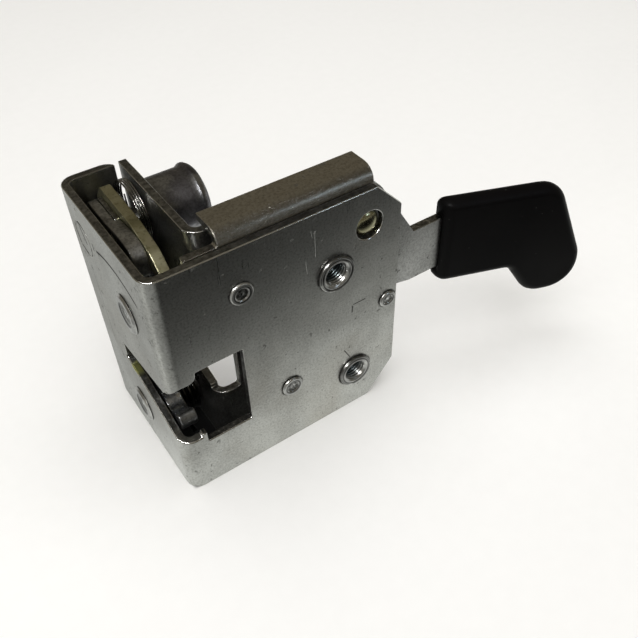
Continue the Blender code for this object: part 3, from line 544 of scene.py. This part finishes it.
# %% Sheet pieces
# Tones darker than the case's are painted shade.
dressed("rear_bracket", zinc_sheet("zinc_bracket", (0.40, 0.40, 0.385), (0.28, 0.28, 0.27)),
        0.3 * MM, 3)
dressed("release_lever", zinc_sheet("zinc_lever", (0.42, 0.42, 0.41), (0.31, 0.31, 0.30),
                                    edges=edges_across_y), 0.22 * MM)
dressed("pawl_plate", zinc_sheet("zinc_pawl_plate", (0.42, 0.42, 0.40), (0.30, 0.30, 0.29)),
        0.12 * MM)


# %% [markdown]
# The channel's top is folded over into a flange. Where the surface turns from the wall to the top,
# a dark band of painted reflection is drawn, with painted glints on its fine grain.

# %% Flange of the channel
def painted_bend_light(finish):
    """On the bend, painted glints as pale and a painted dark reflection as inside; two stay clear."""
    _, along_y, along_z = facing(finish)
    # A painted dark reflection along the bend, with painted glints on its grain.
    bend = (along_y * -1.0).step(0.30, 0.75) * along_z.step(0.12, 0.35)
    grains = finish.noise(1900.0, 3.0, 0.65)
    return 0.0, bend * grains.step(0.60, 0.68) * 0.8, 0.0, bend * 0.9


dressed("top_channel", zinc_sheet("zinc_channel", (0.50, 0.475, 0.42), (0.42, 0.395, 0.34),
                                  (0.43, 0.36, 0.27), edges_of_channel, painted_bend_light, 0.9, 0.0),
        0.25 * MM, 3)


# %% [markdown]
# A few marks are this lock's own: scratches on the side plate, a dark ring round every head, and an
# arc on the front that the striker has scribed. The pawl's axle ends flush in the front, where only
# a broken seam and some punch lines show it. Each mark is drawn where it lies, as a thin band at
# some distance from a line or a circle.

# %% Lines and rings on a face
SOFT_END = 0.6 * MM


def stroke(finish, across, first, last, width):
    """A thin straight mark between two points given along Y and Z, or along X and Z."""
    u, v = (finish.y, finish.z) if across == "X" else (finish.x, finish.z)
    start = Vector(first) * MM
    run = Vector(last) * MM - start
    unit = run.normalized()
    du = u - start.x
    dv = v - start.y
    along = du * unit.x + dv * unit.y
    off = (dv * unit.x - du * unit.y).size()
    inside = along.step(0.0, SOFT_END) * along.fall(run.length - SOFT_END, run.length)
    return off.fall(width * 0.4 * MM, width * MM) * inside


def strokes(finish, across, rows):
    """The strongest of several straight marks at each place."""
    found = 0.0
    for first, last, width, strength in rows:
        found = (stroke(finish, across, first, last, width) * strength).most(found)
    return found


def centre_of(node, axis):
    """Where the middle of a node's box lies, in the two directions across an axis."""
    low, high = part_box(node)
    middle = (low + high) / 2
    return [middle[i] for i in range(3) if "XYZ"[i] != axis]


def dark_rings_round_heads(finish, across, heads):
    """A broken dark ring round each head in one face of the case."""
    broken = finish.noise(330.0, 3.0, 0.6).step(0.36, 0.62)
    rings = 0.0
    for node, radius in heads:
        reach = finish.reach(across, centre_of(node, across))
        rings = reach.fall((radius + 0.05) * MM, (radius + 0.75) * MM).most(rings)
    return rings * (0.35 + broken * 0.65)


# %% [markdown]
# The places of the marks were read off the faces they lie on, in millimetres: along Y and Z on the
# striker face, and along X and Z on the side plate. Two stretches of the sheet are painted darker as
# a
# whole, as painted shade: the inside of the case, and the back of its top edge, where the channel
# stands beside it.

# %% Marks of use on the case
FRONT_STROKES = (              # first end, last end, width and strength
    ((35.9, 37.2), (35.6, 34.2), 0.45, 1.0), ((44.6, 24.0), (43.6, -8.0), 0.22, 0.5),
    ((45.0, 38.4), (41.5, 32.6), 0.7, 0.8), ((48.8, 34.0), (48.1, 29.4), 0.7, 0.8),
    ((48.1, 29.4), (42.6, 28.6), 0.7, 0.8))
SIDE_SCORES = (
    ((2.4, 3.7), (2.55, 7.0), 0.26, 1.0), ((2.55, 7.0), (7.7, 7.1), 0.24, 1.0),
    ((-0.7, -11.0), (1.8, -15.8), 0.2, 1.0))
SIDE_SCRATCHES = (
    ((-25.6, 45.5), (-25.4, 42.0), 0.18, 0.3), ((-11.4, 41.6), (-10.9, 38.6), 0.22, 1.0),
    ((-10.15, 41.0), (-10.1, 31.7), 0.2, 1.0), ((-13.4, 32.0), (-13.0, 27.0), 0.22, 1.0))
SIDE_HEADS = (("insert_upper", 6.1), ("insert_lower", 6.1), ("upper_rivet", 3.6),
              ("lower_rivet", 3.6), ("lever_stop", 3.0))
FRONT_HEADS = (("claw_axle", 5.4), ("stop_pin", 5.4))
ARC_CENTRE = (22.0 * MM, 2.45 * MM)
ARC_RADIUS = 35.25 * MM
SEAM_CENTRE = (43.9 * MM, 33.45 * MM)
SEAM_RADIUS = 5.2 * MM


def scribed_arc(finish):
    band = (finish.reach("X", ARC_CENTRE) - ARC_RADIUS).size().fall(0.28 * MM, 0.58 * MM)
    span = (finish.y - 20.5 * MM).size().fall(12.0 * MM, 14.0 * MM)
    return band * span * finish.z.step(0.0, 10 * MM)


def axle_seam(finish):
    seam = (finish.reach("X", SEAM_CENTRE) - SEAM_RADIUS).size().fall(0.20 * MM, 0.60 * MM)
    return seam * finish.noise(95.0, 1.0, 0.5).step(0.42, 0.50) * 0.5


def straw_patch(finish):
    """A yellow film on the slot's lower rim."""
    wide = finish.y.step(26 * MM, 28 * MM) * finish.y.fall(31 * MM, 33 * MM)
    high = (finish.z + 7.6 * MM).size().fall(1.4 * MM, 2.2 * MM)
    return wide * high * finish.x.fall(-57.5 * MM, -56.5 * MM)


def case_marks(finish):
    """Dark, pale, straw and inside marks of the case; inside and the top edge are painted shade."""
    front = finish.x.fall(-59.3 * MM, -59.0 * MM)
    side = finish.y.fall(0.05 * MM, 0.3 * MM)
    dark = scribed_arc(finish).most(axle_seam(finish)).most(strokes(finish, "X", FRONT_STROKES))
    dark = dark.most(dark_rings_round_heads(finish, "X", FRONT_HEADS)) * front
    # The back of the top edge is painted darker, as shade beside the channel.
    top_edge = finish.z.step(46.38 * MM, 46.44 * MM) * finish.x.step(-38 * MM, -28 * MM)
    dark = dark.most(top_edge * 0.6)
    dark = dark.most(strokes(finish, "Y", SIDE_SCORES) * side)
    dark = dark.most(dark_rings_round_heads(finish, "Y", SIDE_HEADS) * side)
    pale = strokes(finish, "Y", SIDE_SCRATCHES) * side
    # The inside of the case is painted darker, as shade.
    inside = finish.x.step(-57.0 * MM, -56.7 * MM) * finish.y.step(2.3 * MM, 2.6 * MM)
    return dark, pale, straw_patch(finish), inside


dressed("outer_plate", zinc_sheet("zinc_case", edges=edges_of_case, marks=case_marks),
        0.4 * MM, 3)
dressed("pawl_axle", zinc_sheet("zinc_pawl_axle", edges=edges_around_x, marks=case_marks),
        0.12 * MM)


# %% [markdown]
# Pins, rivets and inserts were turned before they were plated, so their tool marks run in rings
# round their own axis. The rings are noise read along the distance from that axis, which is why
# this finish is made once for each of them. The dished centres are darker, with a painted highlight
# in their middle, and an insert has a groove in its flange and painted shade deep in its bore.

# %% Finish: turned and plated steel
TURNED_LIGHT = (0.60, 0.60, 0.58)
TURNED_DULL = (0.36, 0.36, 0.35)
TOOL_MARK = (0.72, 0.72, 0.70)
DISH_DARK = (0.04, 0.04, 0.036)
# A painted highlight in a dish's middle.
PAINTED_DISH_HIGHLIGHT = (0.95, 0.95, 0.93)
DISH_LINE = (0.03, 0.03, 0.028)
GROOVE = (0.04, 0.038, 0.036)
# Painted shade deep in a bore.
PAINTED_BORE_SHADE = (0.060, 0.080, 0.088)


def dark_dish_and_highlight(finish, colour, reach, in_dish, dish):
    """A dished centre darker in patches, a painted highlight in its middle, a dark line round it."""
    dish_patches = finish.noise(900.0, 3.0, 0.7).step(0.40, 0.60)
    colour = finish.blend(in_dish * (0.40 + dish_patches * 0.55), colour, DISH_DARK)
    # The bright middle of the dish is a painted highlight.
    wear_and_sheen = reach.fall(dish * 0.12, dish * 0.52) * finish.noise(620.0, 2.0, 0.6).step(0.40, 0.54)
    colour = finish.blend(wear_and_sheen * 0.95, colour, PAINTED_DISH_HIGHLIGHT)
    line = (reach - dish * 1.12).size().fall(dish * 0.04, dish * 0.16)
    return finish.blend(line * 0.8, colour, DISH_LINE)


def grooved_bore(finish, colour, reach, clouds):
    """A dark groove in the flange, a dull film outside it, and painted shade deep in the bore."""
    groove = (reach - 5.1 * MM).size().fall(0.1 * MM, 0.4 * MM)
    # Painted shade deep in the bore.
    bore_shade = finish.y.step(-0.6 * MM, 3.0 * MM) * reach.fall(4.0 * MM, 4.3 * MM)
    outside = reach.step(5.25 * MM, 5.55 * MM) * clouds.fall(0.50, 0.62)
    colour = finish.blend(outside * 0.7, colour, DULL_FILM_AND_SHADE)
    colour = finish.blend(groove * 0.85, colour, GROOVE)
    return finish.blend(bore_shade * 0.92, colour, PAINTED_BORE_SHADE)


def turned_zinc(node, axis, dish=0.0, bore=False):
    finish = Finish("turned_" + node)
    reach = finish.reach(axis, centre_of(node, axis))
    rings = finish.add("ShaderNodeTexNoise", {"noise_dimensions": "1D"},
                       {"W": reach, "Scale": 2600.0, "Detail": 2.0})
    clouds = finish.noise(240.0, 3.0, 0.6)
    pits = finish.noise(1500.0, 2.0, 0.5).step(0.66, 0.76)
    colour = finish.blend(clouds.step(0.35, 0.7), TURNED_DULL, TURNED_LIGHT)
    colour = finish.blend(rings.step(0.58, 0.7) * 0.25, colour, TOOL_MARK)
    colour = finish.blend(pits * 0.5, colour, SPECK)
    if dish:
        in_dish = reach.fall(dish * 0.72, dish * 1.02)
        colour = dark_dish_and_highlight(finish, colour, reach, in_dish, dish)
        rings = rings + in_dish * finish.noise(700.0, 1.0, 0.5) * 3.0
    if bore:
        colour = grooved_bore(finish, colour, reach, clouds)
    height = rings * 0.8 + finish.noise(1100.0, 2.0, 0.6) * 0.5 - pits * 0.8
    return finish.send(colour=colour, roughness=0.24 + clouds * 0.14, metallic=1.0,
                       normal=finish.bump(height, 0.03 * MM, 0.5))


# %% [markdown]
# The pins stand in two faces: those of the striker face run along X, and those of the side plate
# along Y. Where a head has a dished centre, its radius goes with it.

# %% Pins, rivets and washers
TURNED_PIECES = (              # node, axis and the dish's radius in mm
    ("claw_axle", "X", 3.2), ("stop_pin", "X", 3.2), ("spring_washer", "X", 0.0),
    ("pawl_bush", "X", 0.0), ("arm_rivet", "X", 0.0), ("upper_rivet", "Y", 2.2),
    ("lower_rivet", "Y", 2.2), ("lower_spacer", "Y", 0.0), ("lever_stop", "Y", 1.8))

for node, axis, dish in TURNED_PIECES:
    dressed(node, turned_zinc(node, axis, dish * MM), 0.12 * MM)


# %% [markdown]
# The two inserts are bored out and threaded. A real thread is a ridge that climbs as it goes round,
# so it is built that way: rings of points whose radius rises and falls with the depth, and with
# the angle, by one pitch for each turn. The flange carries a groove between two rings.

# %% Threaded inserts
THREAD_ROUND = 72
THREAD_PITCH = 1.0 * MM
THREAD_MAJOR = 3.85 * MM
THREAD_MINOR = 3.5 * MM
THREAD_START = 0.45 * MM
ROWS_PER_TURN = 8
LEAD_ROWS = 6
RIDGE_SLOPE = 2.4
SLEEVE = 5.18
INSERT_PROFILE = (             # radius and depth from the flange's front, in mm
    (4.15, 0.30), (4.35, 0.08), (4.60, 0.0), (4.85, 0.06), (5.02, 0.22), (5.20, 0.24),
    (5.38, 0.10), (5.62, 0.02), (5.86, 0.08), (6.05, 0.34), (6.10, 0.62), (6.10, 0.90),
    (5.20, 0.92), (SLEEVE, 1.60))


def thread_row(along, lead):
    """Radius and depth of the points in one ring of the thread."""
    row = []
    for k in range(THREAD_ROUND):
        phase = (along / THREAD_PITCH + k / THREAD_ROUND) % 1.0
        cut = max(0.0, 1.0 - abs(phase - 0.5) * RIDGE_SLOPE)
        radius = THREAD_MINOR + (THREAD_MAJOR - THREAD_MINOR) * max(cut, 1.0 - lead)
        row.append((radius, along))
    return row


def insert_rows(depth):
    step = THREAD_PITCH / ROWS_PER_TURN
    rows = [[(radius * MM, along * MM)] * THREAD_ROUND
            for radius, along in reversed(INSERT_PROFILE)]
    for i in range(int((depth - 0.55 * MM) / step)):
        rows.append(thread_row(THREAD_START + i * step, min(1.0, i / LEAD_ROWS)))
    rows.append([(THREAD_MINOR, depth)] * THREAD_ROUND)
    rows.append([(SLEEVE * MM, depth)] * THREAD_ROUND)
    return rows


def threaded_insert(node):
    low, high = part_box(node)
    middle_x, middle_z = centre_of(node, "Y")
    body = bmesh.new()
    rings = []
    for row in insert_rows(high.y - low.y):
        ring = []
        for k, (radius, along) in enumerate(row):
            angle = 2 * math.pi * k / THREAD_ROUND
            ring.append(body.verts.new((middle_x + radius * math.cos(angle), low.y + along,
                                        middle_z + radius * math.sin(angle))))
        rings.append(ring)
    for first, second in zip(rings, rings[1:] + rings[:1]):
        for k in range(THREAD_ROUND):
            n = (k + 1) % THREAD_ROUND
            body.faces.new((first[k], first[n], second[n], second[k]))
    bmesh.ops.recalc_face_normals(body, faces=body.faces)
    for face in body.faces:
        face.smooth = True
    mesh = bpy.data.meshes.new(node + "_threaded")
    body.to_mesh(mesh)
    body.free()
    mesh.materials.append(turned_zinc(node, "Y", bore=True))
    take_place(new_object(node + "_threaded", mesh), node)
    print("threaded", node, len(mesh.polygons), "faces")


threaded_insert("insert_upper")
threaded_insert("insert_lower")


# %% [markdown]
# The release arm is zinc plated and then passivated yellow, and so is the lever's pivot. The film
# is thin enough to shift with its thickness, from straw through olive to a faint rose, so its
# colours follow a slow noise through a ramp.

# %% Yellow passivated zinc
FILM_TONE = 0.95
FILM = ((0.28, (0.26, 0.25, 0.15)), (0.45, (0.42, 0.40, 0.25)),
        (0.60, (0.52, 0.50, 0.34)), (0.78, (0.48, 0.42, 0.33)))
FILM_RUBBED = (0.62, 0.61, 0.50)
FILM_SPECK = (0.16, 0.155, 0.09)


def yellow_zinc(name, rough=0.34):
    finish = Finish(name)
    drift = finish.noise(120.0, 4.0, 0.6, warp=0.8)
    stops = [(place, [part * FILM_TONE for part in colour]) for place, colour in FILM]
    film = finish.add("ShaderNodeValToRGB", {"stops": stops}, {"Fac": drift})
    grain = finish.noise(1000.0, 3.0, 0.6)
    rub = finish.noise(34.0, 2.0, 0.5, finish.stretched((1.0, 30.0, 30.0))).step(0.62, 0.70)
    colour = finish.blend(rub * 0.3, film, FILM_RUBBED)
    colour = finish.blend(grain.step(0.54, 0.66) * 0.45, colour, FILM_SPECK)
    return finish.send(colour=colour, roughness=rough + drift * 0.16, metallic=1.0,
                       normal=finish.bump(grain - rub * 0.3, 0.03 * MM, 0.6))


dressed("release_arm", yellow_zinc("yellow_zinc"), 0.3 * MM)
dressed("lever_pivot", yellow_zinc("yellow_pin", 0.16), 0.1 * MM)


# %% [markdown]
# Claw and pawl are thick blanks that work in grease. They are darker than the sheet, with a matt
# film, wiped brighter where they rub; on the claw the bright wipe is turned up to stand also for
# painted glints. The cup and the bush have the same film, in darker tones.

# %% Working steel
WIPED_AND_GLINT = (0.60, 0.62, 0.64)
STEEL_PORE = (0.05, 0.05, 0.05)


def working_steel(name, light=(0.38, 0.38, 0.37), dark=(0.17, 0.17, 0.165), wipe_and_glint=0.5, rough=0.32):
    finish = Finish(name)
    film = finish.noise(160.0, 4.0, 0.62)
    wiped = finish.noise(85.0, 3.0, 0.6, warp=0.5).step(0.46, 0.64)
    grain = finish.noise(1300.0, 2.0, 0.6)
    colour = finish.blend(film.step(0.38, 0.62), dark, light)
    # Wiped patches; on the claw they are also painted glints.
    colour = finish.blend(wiped * wipe_and_glint, colour, WIPED_AND_GLINT)
    colour = finish.blend(grain.fall(0.40, 0.56) * 0.35, colour, STEEL_PORE)
    roughness = rough + film * 0.18 + wiped * -0.12
    return finish.send(colour=colour, roughness=roughness, metallic=1.0,
                       normal=finish.bump(grain + film * 0.6, 0.03 * MM, 0.6))


dressed("pawl", working_steel("working_steel"), 0.45 * MM, 3)
# The claw's strong bright wipe is partly painted glints.
dressed("claw", working_steel("claw_steel", (0.34, 0.345, 0.35), (0.12, 0.12, 0.122), 0.95, 0.24),
        0.4 * MM)
dressed("claw_bush", working_steel("bush_steel", (0.12, 0.12, 0.12), (0.05, 0.05, 0.05)),
        0.2 * MM)
dressed("spring_cup", working_steel("cup_steel", (0.175, 0.17, 0.182), (0.11, 0.105, 0.118)),
        0.15 * MM)


# %% [markdown]
# The grip is a black moulding with a fine etched texture. It is polished a little by hands, so its
# roughness drifts, and it carries a few pale specks of dust. Its own edges are round already, from
# the mould, so it gets no bevel.

# %% Black moulding
MOULDING = ((0.0022, 0.0020, 0.0022), (0.0036, 0.0033, 0.0035))
DUST = (0.10, 0.10, 0.095)


def black_moulding(name):
    finish = Finish(name)
    etched = finish.noise(2600.0, 2.0, 0.6)
    wear_and_sheen = finish.noise(38.0, 2.0, 0.5).step(0.42, 0.70)
    dust = finish.noise(760.0, 1.0, 0.4).step(0.775, 0.82)
    colour = finish.blend(dust * 0.35, finish.blend(wear_and_sheen, *MOULDING), DUST)
    roughness = 0.46 - wear_and_sheen * 0.08 + etched * 0.06 + dust * 0.2
    finish.fix("Specular IOR Level", 0.07)
    return finish.send(colour=colour, roughness=roughness,
                       normal=finish.bump(etched, 0.02 * MM, 0.6))


dressed("grip", black_moulding("black_moulding"))


# %% [markdown]
# Both springs are wound wire, and a coil follows one rule: its angle grows with its depth. So a
# Geometry Nodes tree winds them. This class adds the tree's nodes and names its inputs, and keeps
# the identifier of each input, because a modifier's input is set by that and not by its name.

# %% Tree with named inputs
class Tree:
    """A Geometry Nodes tree with named inputs."""

    def __init__(self, name, inputs):
        self.group = bpy.data.node_groups.new(name, "GeometryNodeTree")
        sockets = self.group.interface
        sockets.new_socket("Geometry", in_out="INPUT", socket_type="NodeSocketGeometry")
        self.keys = {}
        for label, kind in inputs.items():
            socket = sockets.new_socket(label, in_out="INPUT", socket_type="NodeSocket" + kind)
            self.keys[label] = socket.identifier
        sockets.new_socket("Geometry", in_out="OUTPUT", socket_type="NodeSocketGeometry")
        start = self.group.nodes.new("NodeGroupInput")
        self.inputs = {label: start.outputs[label] for label in inputs}

    def add(self, kind, values=None, **settings):
        node = self.group.nodes.new(kind)
        for name, setting in settings.items():
            setattr(node, name, setting)
        for name, value in (values or {}).items():
            for one in value if isinstance(value, list) else [value]:
                if isinstance(one, bpy.types.NodeSocket):
                    self.group.links.new(one, node.inputs[name])
                else:
                    node.inputs[name].default_value = one
        return node.outputs[0] if node.outputs else None

    def maths(self, operation, first, second=0.0):
        return self.add("ShaderNodeMath", {0: first, 1: second}, operation=operation)


# %% [markdown]
# The tree bends a straight row of points round the X axis by the coil's rule, adds the two straight
# legs, and sweeps a round section along all three. It ends in Realize Instances and Set Material,
# so that what it makes is a plain mesh in the wire's own finish.

# %% Tree that winds a spring
WIRE_SIDES = 14
WINDING_INPUTS = {"Length": "Float", "Radius": "Float", "Wire": "Float", "Turns": "Float",
                  "First Angle": "Float", "Points": "Int", "First Leg": "Vector",
                  "Last Leg": "Vector"}


def on_circle(tree, depth, angle):
    radius = tree.inputs["Radius"]
    across = tree.maths("MULTIPLY", tree.maths("COSINE", angle), radius)
    up = tree.maths("MULTIPLY", tree.maths("SINE", angle), radius)
    return tree.add("ShaderNodeCombineXYZ", {"X": depth, "Y": across, "Z": up})


def straight_leg(tree, start, run):
    end = tree.add("ShaderNodeVectorMath", {0: start, 1: run}, operation="ADD")
    return tree.add("GeometryNodeCurvePrimitiveLine", {"Start": start, "End": end})


def winding_tree(material):
    tree = Tree("wound_spring", WINDING_INPUTS)
    size = tree.inputs
    line = tree.add("GeometryNodeCurvePrimitiveLine")
    row = tree.add("GeometryNodeResampleCurve", {"Curve": line, "Count": size["Points"]})
    share = tree.add("GeometryNodeSplineParameter")
    sweep = tree.maths("MULTIPLY", size["Turns"], 2 * math.pi)
    angle = tree.maths("ADD", tree.maths("MULTIPLY", share, sweep), size["First Angle"])
    place = on_circle(tree, tree.maths("MULTIPLY", share, size["Length"]), angle)
    coil = tree.add("GeometryNodeSetPosition", {"Geometry": row, "Position": place})
    first = on_circle(tree, 0.0, size["First Angle"])
    last = on_circle(tree, size["Length"], tree.maths("ADD", sweep, size["First Angle"]))
    legs = [straight_leg(tree, first, size["First Leg"]),
            straight_leg(tree, last, size["Last Leg"])]
    paths = tree.add("GeometryNodeJoinGeometry", {"Geometry": [coil, *legs]})
    section = tree.add("GeometryNodeCurvePrimitiveCircle",
                       {"Resolution": WIRE_SIDES, "Radius": size["Wire"]})
    wire = tree.add("GeometryNodeCurveToMesh",
                    {"Curve": paths, "Profile Curve": section, "Fill Caps": True})
    smooth = tree.add("GeometryNodeSetShadeSmooth", {"Geometry": wire})
    real = tree.add("GeometryNodeRealizeInstances", {"Geometry": smooth})
    painted = tree.add("GeometryNodeSetMaterial", {"Geometry": real, "Material": material})
    tree.add("NodeGroupOutput", {"Geometry": painted})
    return tree


# %% [markdown]
# The sizes come from the imported spring's box: the coil fills it, and its legs run to its ends. The
# wound mesh is then moved onto its axis. The spring on the pawl's axle is fine wire that catches
# the light. The claw's spring is heavier and dark. Drawn wire is smooth, so one mild
# noise is all its finish needs.

# %% Two springs
POINTS_PER_TURN = 40
WIRE_DULL = (0.24, 0.235, 0.22)
WIRE_LIGHT = (0.66, 0.65, 0.62)


def spring_wire(name, tone):
    finish = Finish(name)
    drawn = finish.noise(420.0, 2.0, 0.5)
    colour = finish.blend(drawn.step(0.35, 0.7), [part * tone for part in WIRE_DULL],
                          [part * tone for part in WIRE_LIGHT])
    return finish.send(colour=colour, roughness=0.14 + drawn * 0.08, metallic=1.0,
                       normal=finish.bump(drawn, 0.01 * MM, 0.3))


def wound_spring(node, axis, outer, wire, turns, first_angle, first_leg, last_leg, material):
    """A coil round an axis along X, from its outer radius and the wire's own radius."""
    low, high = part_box(node)
    tree = winding_tree(material)
    piece = new_object(node + "_wound", bpy.data.meshes.new(node + "_wound"))
    winding = piece.modifiers.new("winding", "NODES")
    winding.node_group = tree.group
    sizes = {"Length": high.x - low.x - 2 * wire, "Radius": outer - wire, "Wire": wire,
             "Turns": turns, "First Angle": math.radians(first_angle),
             "Points": round(turns * POINTS_PER_TURN), "First Leg": first_leg,
             "Last Leg": last_leg}
    for label, value in sizes.items():
        winding[tree.keys[label]] = value
    apply_modifiers(piece)
    piece.data.transform(Matrix.Translation((low.x + wire, *axis)))
    take_place(piece, node)
    print("wound", node, len(piece.data.polygons), "faces")


low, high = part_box("pawl_spring")
outer = (high.y - low.y) / 2
pawl_axis = (low.y + outer, high.z - outer)
wound_spring("pawl_spring", pawl_axis, outer, 0.25 * MM, 4.5, 180.0,
             (0.0, 0.0, low.z - pawl_axis[1]), (0.0, -0.3 * MM, -9.0 * MM),
             spring_wire("bright_wire", 0.8))
low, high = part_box("claw_spring")
outer = (high.z - low.z) / 2
claw_axis = (high.y - outer, low.z + outer)
wound_spring("claw_spring", claw_axis, outer, 0.7 * MM, 3.5, -90.0,
             (0.0, low.y - claw_axis[0], 0.0), (0.0, -7.8 * MM, 0.0),
             spring_wire("dark_wire", 0.15))
